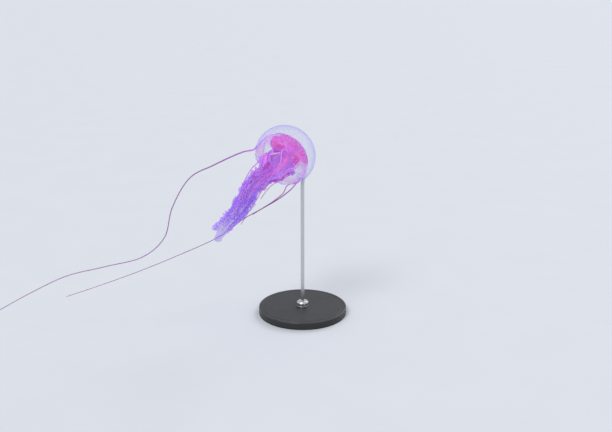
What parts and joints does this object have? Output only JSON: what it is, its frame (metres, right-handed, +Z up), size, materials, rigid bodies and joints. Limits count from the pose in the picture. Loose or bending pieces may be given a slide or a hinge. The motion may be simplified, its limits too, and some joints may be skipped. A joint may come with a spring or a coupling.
{
  "type": "jellyfish",
  "caption": "Still mauve stinger with a clear domed bell, pink gonads, frilly oral arms and long trailing tentacles, held by a rod above a flat round display base.",
  "frame": {"origin": "centre of the round base's underside, on the floor", "axes": "+Z up. The long tentacles trail towards -X, the bell's mouth faces down and towards -X and -Y, and its crown points up and towards +X and +Y"},
  "size_m": [0.4543, 0.1624, 0.264],
  "materials": {
    "bell_jelly": "clear wet jelly with a violet tint, finely warted outside",
    "arm_frill": "soft translucent mauve frill with a pink rib",
    "gonad_tissue": "folded pink tissue seen through the jelly",
    "tentacle_thread": "beaded reddish violet thread",
    "stand_paint": "satin black powder coat",
    "stand_steel": "brushed"
  },
  "bodies": {
    "root": {"umbrella": "bell_jelly", "lappet_pair_1": "bell_jelly", "lappet_pair_2": "bell_jelly", "lappet_pair_3": "bell_jelly", "lappet_pair_4": "bell_jelly", "lappet_pair_5": "bell_jelly", "lappet_pair_6": "bell_jelly", "lappet_pair_7": "bell_jelly", "lappet_pair_8": "bell_jelly", "throat": "arm_frill", "gonad_1": "gonad_tissue", "gonad_2": "gonad_tissue", "gonad_3": "gonad_tissue", "gonad_4": "gonad_tissue", "oral_arm_1_upper": "arm_frill", "oral_arm_1_middle": "arm_frill", "oral_arm_1_lower": "arm_frill", "oral_arm_2_upper": "arm_frill", "oral_arm_2_middle": "arm_frill", "oral_arm_2_lower": "arm_frill", "oral_arm_3_upper": "arm_frill", "oral_arm_3_middle": "arm_frill", "oral_arm_3_lower": "arm_frill", "oral_arm_4_upper": "arm_frill", "oral_arm_4_middle": "arm_frill", "oral_arm_4_lower": "arm_frill", "tentacle_1_length_1": "tentacle_thread", "tentacle_1_length_2": "tentacle_thread", "tentacle_1_length_3": "tentacle_thread", "tentacle_1_length_4": "tentacle_thread", "tentacle_1_length_5": "tentacle_thread", "tentacle_2_length_1": "tentacle_thread", "tentacle_2_length_2": "tentacle_thread", "tentacle_3_length_1": "tentacle_thread", "tentacle_3_length_2": "tentacle_thread", "tentacle_4_length_1": "tentacle_thread", "tentacle_4_length_2": "tentacle_thread", "tentacle_5_length_1": "tentacle_thread", "tentacle_5_length_2": "tentacle_thread", "tentacle_5_length_3": "tentacle_thread", "tentacle_5_length_4": "tentacle_thread", "tentacle_6_length_1": "tentacle_thread", "tentacle_6_length_2": "tentacle_thread", "tentacle_7_length_1": "tentacle_thread", "tentacle_7_length_2": "tentacle_thread", "tentacle_8_length_1": "tentacle_thread", "tentacle_8_length_2": "tentacle_thread", "stand_base": "stand_paint", "stand_collar": "stand_steel", "stand_rod": "stand_steel"}
  },
  "joints": []
}
